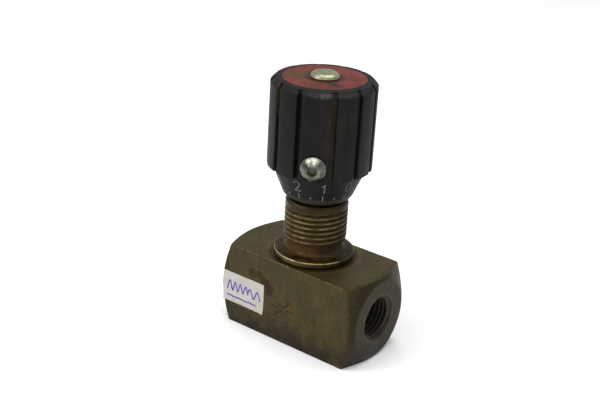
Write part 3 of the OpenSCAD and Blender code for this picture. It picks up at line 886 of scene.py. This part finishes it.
def grip_section():
    """Angle and radius of points around the knob: lobes, groove walls and groove floors."""
    step = (2 * math.pi - WIDE_LOBE) / LOBES
    edge = 0.32
    half = GROOVE_W / 2
    turns = [math.pi / 2 * t / 4 for t in range(5)]
    wall = [(half + edge * (1 - math.sin(a)) + 0.04, KNOB_R - edge * (1 - math.cos(a))) for a in turns]
    wall += [(half, KNOB_R - 0.75), (half, KNOB_R - 1.1), (half, GROOVE_R + 0.22),
             (half - 0.07, GROOVE_R + 0.06), (half - 0.24, GROOVE_R)]
    section = []
    for k in range(LOBES + 1):
        middle = LOCK_ANGLE + WIDE_LOBE / 2 + k * step
        span = WIDE_LOBE if k == LOBES else step
        # Groove: down one wall, over the floor and up the other wall
        section += [(middle - math.asin(offset / r), r) for offset, r in wall]
        section.append((middle, GROOVE_R))
        section += [(middle + math.asin(offset / r), r) for offset, r in reversed(wall)]
        lobe_edge = math.asin((half + edge + 0.04) / KNOB_R)
        count = max(8, int(math.degrees(span) / 2.6))
        for i in range(1, count):
            section.append((middle + lobe_edge + (span - 2 * lobe_edge) * i / count, KNOB_R))
    return section


def skirt_points():
    """Outline of the skirt from its lower rim up to the lobes, as (r, z)."""
    wide, high = SKIRT_TOP[0] - SKIRT_FOOT_R, SKIRT_TOP[1] - KNOB_Z0
    turns = [SKIRT_ARC * i / 8 for i in range(9)]
    return [(SKIRT_FOOT_R + wide * math.sin(a) / math.sin(SKIRT_ARC),
             KNOB_Z0 + high * (1 - math.cos(a)) / (1 - math.cos(SKIRT_ARC))) for a in turns]


def build_knob():
    ledge = CONE_TOP[1]
    outline = rounded([(HOLLOW_R, KNOB_Z0), (8.25, KNOB_Z0)] + skirt_points()[1:-1]
                      + [(*SKIRT_TOP, 0.4), (*CONE_TOP, 0.12), (KNOB_R, ledge, 0.14),
                         (KNOB_R + 0.001, ledge + 12), (KNOB_R, KNOB_Z1 - (KNOB_R - CROWN_R), 0.35),
                         (CROWN_R, KNOB_Z1, 0.3),
                         (disc_high[0] + 0.08, KNOB_Z1, 0.08), (disc_high[0] + 0.05, KNOB_Z1 - 0.2),
                         (CAP_HOLE_R, KNOB_Z1 - 0.2)], 5)
    section = grip_section()
    rings = [[polar(min(r, r_out), a, z) for a, r in section] for r_out, z in outline]
    inside = [(CAP_HOLE_R, TOP + 50.8), (5.6, TOP + 50.8), (5.6, TOP + 43), (3.1, TOP + 43), (3.1, TOP + 42),
              (HOLLOW_R, TOP + 42), (HOLLOW_R, KNOB_Z0)]
    rings += circles(inside, [a for a, _ in section])
    knob = mesh_object("grip_knob", *stacked(rings))
    # Spot face under the lock screw's head and the hole that its bush and pad fill
    seat = [(0, HEAD_U - 0.03), (HEAD_R + 0.2, HEAD_U - 0.03), (HEAD_R + 0.2, KNOB_R + 2), (0, KNOB_R + 2)]
    hole = [(0, 6), (PAD_R, 6), (PAD_R, BUSH_U0), (BUSH_R, BUSH_U0), (BUSH_R, BUSH_U1),
            (SHANK_R + 0.15, BUSH_U1), (SHANK_R + 0.15, KNOB_R + 1), (0, KNOB_R + 1)]
    for outline, count in ((seat, 64), (hole, 48)):
        cutter = turned("lock_cutter", outline, count)
        along_lock(cutter)
        apply_boolean(knob, cutter)
    shade(knob, 38)
    return place(knob, "knob_and_spindle", knob_finish(), "knob_plastic", "knob")


# ---- scale on the skirt

def digit_strokes(digit):
    """Pen paths of a dial numeral in a box 1 wide and 1.6 high, centred on x = 0."""
    six = [bow(0.06, 0.9, 0.46, 0.72, 70, 180, 12) + bow(0, 0.45, 0.42, 0.45, 180, 540, 20)]
    return {
        0: [bow(0, 0.8, 0.42, 0.8, 90, 450, 24)],
        1: [[(-0.36, 1.18), (-0.12, 1.3), (0.08, 1.6), (0.08, 0.0)]],
        2: [bow(0, 1.16, 0.42, 0.44, 165, -40, 12) + [(-0.42, 0.0), (0.46, 0.0)]],
        3: [bow(-0.02, 1.2, 0.4, 0.4, 150, -80, 12) + bow(-0.02, 0.4, 0.44, 0.42, 80, -150, 12)],
        4: [[(0.16, 0.0), (0.16, 1.6), (-0.46, 0.5), (0.46, 0.5)]],
        5: [[(0.38, 1.6), (-0.32, 1.6), (-0.38, 0.88)] + bow(-0.02, 0.5, 0.44, 0.48, 125, -140, 12)],
        6: six,
        7: [[(-0.42, 1.6), (0.44, 1.6), (-0.12, 0.0)]],
        8: [bow(0, 1.2, 0.34, 0.4, 90, 450, 20), bow(0, 0.4, 0.44, 0.42, 90, 450, 20)],
        9: [[(-u, 1.6 - v) for u, v in path] for path in six],
    }[digit]


def on_cone(u, v, centre, lift):
    """A point on the skirt: u mm round to the right of the centre angle, v mm up the slope."""
    low_r, low_z = SKIRT_TOP
    high_r, high_z = CONE_TOP
    slope = math.atan2(high_z - low_z, high_r - low_r)
    r = low_r + v * math.cos(slope)
    z = low_z + v * math.sin(slope)
    if v < 0:
        radii, heights = zip(*skirt_points())
        z = low_z + v * math.sin(math.radians(52))
        r = float(np.interp(z, heights, radii))
    angle = centre + u / r
    r += lift * math.sin(slope)
    return polar(r, angle, z - lift * math.cos(slope))


def ribbon(points, faces, path, width, centre):
    """Adds a painted stroke that follows a path of (u, v) points over the skirt."""
    fine = []
    for a, b in zip(path, path[1:]):
        pieces = max(1, int(math.dist(a, b) / 0.12))
        fine += [Vector(a).lerp(Vector(b), i / pieces) for i in range(pieces)]
    fine.append(path[-1])
    thick = PAINT_THICK
    profile = ((-1, -0.05), (-1, thick * 0.6), (-0.55, thick), (0.55, thick), (1, thick * 0.6), (1, -0.05))
    sections = []
    for i, (u, v) in enumerate(fine):
        across = sideways(fine, i) * width / 2 * (0.55 if i in (0, len(fine) - 1) else 1.0)
        sections.append([on_cone(u + across.x * side, v + across.y * side, centre, lift)
                         for side, lift in profile])
    sweep(points, faces, sections)


def build_scale():
    """Numbers 0 to 9 with a stroke under each and a dot half-way to the next."""
    points, faces = [], []
    for k in range(SCALE_STEPS):
        centre = ZERO_ANGLE - k * 2 * math.pi / SCALE_STEPS
        for path in digit_strokes(k):
            ribbon(points, faces, [(u * DIGIT_SIZE, 2.7 + v * DIGIT_SIZE) for u, v in path], 0.3, centre)
        ribbon(points, faces, [(0.0, -0.25), (0.0, 1.75)], 0.28, centre)
        between = centre - math.pi / SCALE_STEPS
        ribbon(points, faces, [(0.0, 0.25), (0.0, 0.9)], 0.42, between)
    scale = mesh_object("scale_print", points, faces)
    return place(scale, "knob_and_spindle", scale_finish(), "scale_paint", "scale_marks")


# ---- small turned pieces

def build_cap():
    """Pan-shaped cap pin with a rounded rim and a faintly dished top."""
    z0, z1 = cap_low[2], cap_high[2]
    r = cap_high[0]
    under = disc_high[2]
    cap = turned("cap_pin", [(0, z0), (1.98, z0, 0.3), (1.98, under), (r - 0.12, under, 0.04),
                             (r, under + 0.35, 0.2), (r - 0.3, z1 - 0.55, 0.4), (r - 0.95, z1 - 0.04, 0.6),
                             (r - 2.0, z1), (0, z1 - 0.04)], 96, 6)
    shade(cap, 40)
    finish = steel_finish("grey_cap_steel", (0.38, 0.38, 0.235), (0.27, 0.27, 0.165), (0.1, 0.085, 0.04),
                          0.26, 0.38, 0.5, 2.2)
    return place(cap, "knob_and_spindle", finish, "cap_steel", "spindle_cap")


def build_lock_screw():
    """Domed M4 screw with a hexagon socket."""
    ball = (HEAD_R ** 2 + HEAD_H ** 2) / (2 * HEAD_H)
    centre = HEAD_U + HEAD_H - ball
    low = math.asin((HEAD_U + 0.25 - centre) / ball)
    turns = [low + (math.pi / 2 - low) * i / 14 for i in range(15)]
    dome = [(ball * math.cos(a), centre + ball * math.sin(a)) for a in turns]
    screw = turned("dome_lock_screw",
                   [(0, 8.32), (1.6, 8.32), (SHANK_R, 8.7, 0.1), (SHANK_R, HEAD_U, 0.05),
                    (HEAD_R - 0.12, HEAD_U, 0.08), (dome[0][0] + 0.02, HEAD_U + 0.12, 0.05)] + dome, 72)
    walls = [(SOCKET_R, HEAD_U + HEAD_H - 1.1), (SOCKET_R, HEAD_U + HEAD_H + 1)]
    socket = closed_rings("socket_cutter", circles(walls, circle_angles(6)))
    apply_boolean(screw, socket)
    along_lock(screw)
    shade(screw, 30)
    socket_at = polar(HEAD_U + HEAD_H - 1.0, LOCK_ANGLE, LOCK_Z)
    # A painted highlight on the upper side of the dome
    lean = math.radians(36)
    highlight_at = polar(centre + ball * math.cos(lean), LOCK_ANGLE, LOCK_Z + ball * math.sin(lean))
    finish = steel_finish("bright_screw_zinc", (0.19, 0.195, 0.155), (0.072, 0.072, 0.057),
                          (0.03, 0.027, 0.019), 0.18, 0.32, 0.6, 2.0, socket_at, highlight_at)
    return place(screw, "lock_screw", finish, "screw_steel", "lock_screw")


# ---- paper label

def build_label():
    """The paper label: a thin sheet that follows the face, with edges that lift a little."""
    x0, x1 = label_low[0] - 0.2, label_high[0]
    z0, z1 = label_low[2], label_high[2]
    nx, nz = 56, 36

    def lift(i, j):
        u, v = i / nx, j / nz
        corner = max(0.0, u - 0.86) / 0.14 * max(0.0, 0.2 - v) / 0.2
        ripple = 0.016 * noise.noise(Vector((u * 7, v * 5, 1.3)))
        return 0.03 + 0.3 * corner ** 1.5 + ripple

    def point(i, j, out):
        ragged = 0.07 * noise.noise(Vector((i * 0.5, j * 0.5, 7.7)))
        x = x0 + (x1 - x0) * i / nx + (ragged if i in (0, nx) else 0)
        z = z0 + (z1 - z0) * j / nz + (ragged if j in (0, nz) else 0)
        return (x, -HALF_W - lift(i, j) - out, z)

    points, faces = [], []
    for out in (0.0, 0.08):
        points += [point(i, j, out) for j in range(nz + 1) for i in range(nx + 1)]
    row = nx + 1
    sheet = row * (nz + 1)
    for j in range(nz):
        for i in range(nx):
            a = j * row + i
            faces.append((a, a + 1, a + row + 1, a + row))
            faces.append((sheet + a, sheet + a + row, sheet + a + row + 1, sheet + a + 1))
    rim = ([(i, 0) for i in range(nx)] + [(nx, j) for j in range(nz)]
           + [(i, nz) for i in range(nx, 0, -1)] + [(0, j) for j in range(nz, 0, -1)])
    for (i, j), (k, m) in zip(rim, rim[1:] + rim[:1]):
        a, b = j * row + i, m * row + k
        faces.append((a, sheet + a, sheet + b, b))
    label = mesh_object("paper_tag", points, faces)
    place(label, "housing", paper_finish(), "label_paper", "paper_label")
    build_pen_marks(x0, x1, z0, z1)


def build_pen_marks(x0, x1, z0, z1):
    """Violet felt-pen strokes on the label: a plain zigzag, a wave and a line below, no lettering."""
    width, height = x1 - x0, z1 - z0
    cz = z0 + height * 0.56
    zigzag = [(x0 + width * (0.1 + 0.065 * k), cz + (1 if k % 2 else -1) * height * (0.17 - 0.006 * k))
              for k in range(9)]
    wave = [(x0 + width * (0.62 + 0.03 * k), cz - 0.3 + height * 0.14 * math.sin(k * 1.05))
            for k in range(11)]
    line = [(x0 + width * (0.1 + 0.08 * k), z0 + height * (0.2 + 0.01 * math.sin(k * 2.0)))
            for k in range(10)]
    points, faces = [], []
    for path in (zigzag, wave, line):
        path = [Vector(p) for p in path]
        fine = []
        for i in range(len(path) - 1):
            p0, p1 = path[max(i - 1, 0)], path[i]
            p2, p3 = path[i + 1], path[min(i + 2, len(path) - 1)]
            for k in range(8):
                t = k / 8
                fine.append(0.5 * ((2 * p1) + (p2 - p0) * t + (2 * p0 - 5 * p1 + 4 * p2 - p3) * t * t
                                   + (3 * p1 - p0 - 3 * p2 + p3) * t ** 3))
        fine.append(path[-1])
        sections = []
        for i, p in enumerate(fine):
            across = sideways(fine, i) * (0.22 + 0.05 * noise.noise(Vector((i * 0.2, p.x, 2))))
            sections.append([(p.x + across.x * side, -HALF_W - out, p.y + across.y * side)
                             for side, out in ((1, 0.06), (1, 0.135), (-1, 0.135), (-1, 0.06))])
        sweep(points, faces, sections)
    marks = mesh_object("pen_strokes", points, faces)
    place(marks, "housing", ink_finish(), "label_paper")


# ---- pieces kept from the CAD

def finish_cad_nodes():
    """Procedural finishes for the CAD nodes that are shown as they are."""
    ground = steel_finish("ground_steel", (0.5, 0.5, 0.5), (0.4, 0.4, 0.39), (0.16, 0.13, 0.08),
                          0.18, 0.34, size=1.5)
    wire = steel_finish("spring_wire", (0.56, 0.56, 0.57), (0.42, 0.42, 0.42), (0.14, 0.12, 0.09),
                        0.24, 0.4, size=0.8)
    brass = steel_finish("machined_brass", (0.62, 0.46, 0.2), (0.5, 0.36, 0.15), (0.2, 0.13, 0.06),
                         0.24, 0.4, size=1.2)
    rubber = plain_finish("nitrile_rubber", (0.02, 0.02, 0.021), (0.032, 0.031, 0.03), 0.5, 0.75)
    backup = plain_finish("backup_plastic", (0.66, 0.62, 0.52), (0.56, 0.52, 0.43), 0.35, 0.55)
    groups = (
        (ground, "seat_ring", "spring_seat", "check_poppet", "spindle"),
        (wire, "retaining_clip", "poppet_spring"),
        (brass, "knob_insert", "lock_bush", "lock_pad"),
        (rubber, "bonnet_seal", "wiper_ring", "spindle_o_ring"),
        (backup, "backup_ring"), (rings_finish(), "turn_rings"), (disc_finish(), "knob_label"),
    )
    for material, *nodes in groups:
        for node in nodes:
            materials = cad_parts[node].data.materials
            materials.clear()
            materials.append(material)


# ---- room, light and camera

def build_room():
    """Pale floor and soft studio light."""
    floor = mesh_object("pale_floor", [(-900, -900, 0), (900, -900, 0), (900, 900, 0), (-900, 900, 0)],
                        [(0, 1, 2, 3)], smooth=False)
    s = Surface("pale_floor")
    s.coat(s.noise(60, 3), (0.95, 0.95, 0.95), (0.93, 0.93, 0.93))
    floor.data.materials.append(s.finish(0.9, 0.0, 0.1))
    scene = bpy.context.scene
    world = bpy.data.worlds.new("studio")
    scene.world = world
    world.use_nodes = True
    sky = world.node_tree.nodes["Background"].inputs
    sky["Color"].default_value = (1.0, 1.0, 1.0, 1.0)
    sky["Strength"].default_value = 0.62
    target = Vector((0, 0, 0.04))
    for name, spot, size, power in (("key", (-0.35, -0.42, 0.55), 0.45, 2.3),
                                    ("top", (0.1, 0.05, 0.75), 0.9, 4.0),
                                    ("left_glint", (-0.08, -0.62, 0.3), 0.07, 0.16),
                                    ("high_glint", (0.32, -0.44, 0.54), 0.07, 0.2)):
        lamp = bpy.data.lights.new(name, "AREA")
        lamp.shape = "DISK"
        lamp.size = size
        lamp.energy = power
        holder = add_object(name, lamp)
        holder.location = spot
        holder.rotation_euler = (target - Vector(spot)).to_track_quat("-Z", "Y").to_euler()
    scene.view_settings.view_transform = "Standard"
    scene.view_settings.look = "None"


def build_camera():
    """A camera in front of the front face, a little to its right and above."""
    azimuth, elevation, roll = math.radians(37.01), math.radians(22.77), math.radians(3.316)
    distance = 0.30933
    aim_side, aim_height = -0.00483, 0.0411
    back = Vector(polar(math.cos(elevation), azimuth - math.pi / 2, math.sin(elevation)))
    aim = Vector(polar(aim_side, azimuth, aim_height))
    data = bpy.data.cameras.new("camera")
    data.sensor_width = 36.0
    data.lens = 65.52
    data.clip_start = 0.01
    data.clip_end = 20.0
    camera = add_object("camera", data)
    camera.location = aim + back * distance
    camera.rotation_mode = "QUATERNION"
    turn = (-back).to_track_quat("-Z", "Y").to_matrix()
    camera.rotation_quaternion = (turn @ Matrix.Rotation(roll, 3, "Z")).to_quaternion()
    bpy.context.scene.camera = camera


build_camera()
build_room()
build_body()
build_bonnet()
build_knob()
build_scale()
build_cap()
build_lock_screw()
build_label()
finish_cad_nodes()
